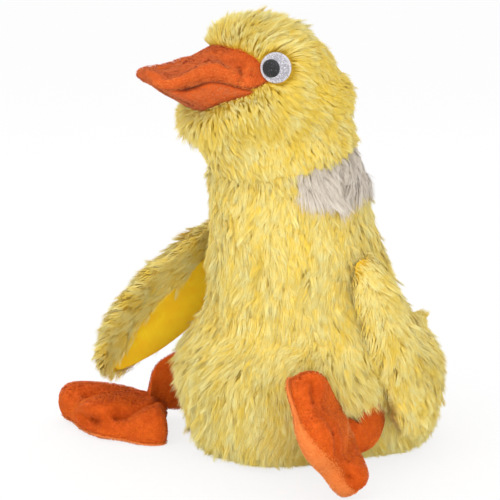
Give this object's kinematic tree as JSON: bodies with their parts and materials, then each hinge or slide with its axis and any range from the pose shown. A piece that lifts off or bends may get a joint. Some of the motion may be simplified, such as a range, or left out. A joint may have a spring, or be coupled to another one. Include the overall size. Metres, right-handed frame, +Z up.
{
  "type": "plush duck",
  "caption": "Sitting plush duck with long soft fur, a turning head with a stuffed bill, lined wings that lift, webbed feet on short soft legs and a stub tail.",
  "frame": {"origin": "middle of the flat base that the duck sits on", "axes": "+Z up; the duck's belly faces -Y and its left side is +X; at rest the head is turned 20 degrees to the duck's right"},
  "size_m": [0.2616, 0.2483, 0.2932],
  "materials": {
    "lemon_pile": "long soft lemon-yellow pile, combed down",
    "white_pile": "long soft white pile",
    "orange_short_pile": "short dense orange velour",
    "gold_lining": "smooth golden knit",
    "white_thread": "satin stitch in white thread",
    "black_thread": "satin stitch in black thread",
    "filling_fibre": "loose polyester fibre",
    "pouch_cloth": "plain undyed cloth"
  },
  "bodies": {
    "body": {"body_cover": "lemon_pile", "tail": "lemon_pile", "neck_ring": "white_pile", "base_panel": "orange_short_pile", "body_filling": "filling_fibre", "pellet_pouch": "pouch_cloth"},
    "head": {"head_cover": "lemon_pile", "head_filling": "filling_fibre", "upper_bill": "orange_short_pile", "lower_bill": "orange_short_pile", "left_eye_patch": "white_thread", "right_eye_patch": "white_thread", "left_eye_rim": "white_thread", "right_eye_rim": "white_thread", "left_pupil": "black_thread", "right_pupil": "black_thread"},
    "left_wing": {"left_wing_fur": "lemon_pile", "left_wing_lining": "gold_lining"},
    "right_wing": {"right_wing_fur": "lemon_pile", "right_wing_lining": "gold_lining"},
    "left_leg": {"left_leg": "orange_short_pile"},
    "right_leg": {"right_leg": "orange_short_pile"},
    "left_foot": {"left_foot_upper": "orange_short_pile", "left_foot_sole": "orange_short_pile"},
    "right_foot": {"right_foot_upper": "orange_short_pile", "right_foot_sole": "orange_short_pile"}
  },
  "joints": [
    {"name": "head_turn", "type": "hinge", "parent": "body", "child": "head", "pos_m": [0, -0.026, 0.2], "axis": [0, -0.2079, 0.9781], "range_deg": [-25, 65], "stiffness_Nm_per_rad": 0.6},
    {"name": "left_wing_lift", "type": "hinge", "parent": "body", "child": "left_wing", "pos_m": [0.062, -0.016, 0.137], "axis": [0.0579, -0.9609, -0.2708], "range_deg": [0, 65], "stiffness_Nm_per_rad": 0.06},
    {"name": "right_wing_lift", "type": "hinge", "parent": "body", "child": "right_wing", "pos_m": [-0.062, -0.016, 0.137], "axis": [0.0238, 0.8338, -0.5515], "range_deg": [0, 45], "stiffness_Nm_per_rad": 0.06},
    {"name": "left_leg_splay", "type": "hinge", "parent": "body", "child": "left_leg", "pos_m": [0.077, 0.005, 0.038], "axis": [0, 0, 1], "range_deg": [0, 7]},
    {"name": "right_leg_splay", "type": "hinge", "parent": "body", "child": "right_leg", "pos_m": [-0.077, 0.005, 0.038], "axis": [0, 0, -1], "range_deg": [0, 20]},
    {"name": "left_foot_turn", "type": "hinge", "parent": "left_leg", "child": "left_foot", "pos_m": [0.083, -0.053, 0.0424], "axis": [0, 0, 1], "range_deg": [0, 10]},
    {"name": "right_foot_turn", "type": "hinge", "parent": "right_leg", "child": "right_foot", "pos_m": [-0.105, -0.057, 0], "axis": [0, 0, 1], "range_deg": [-20, 20]}
  ]
}
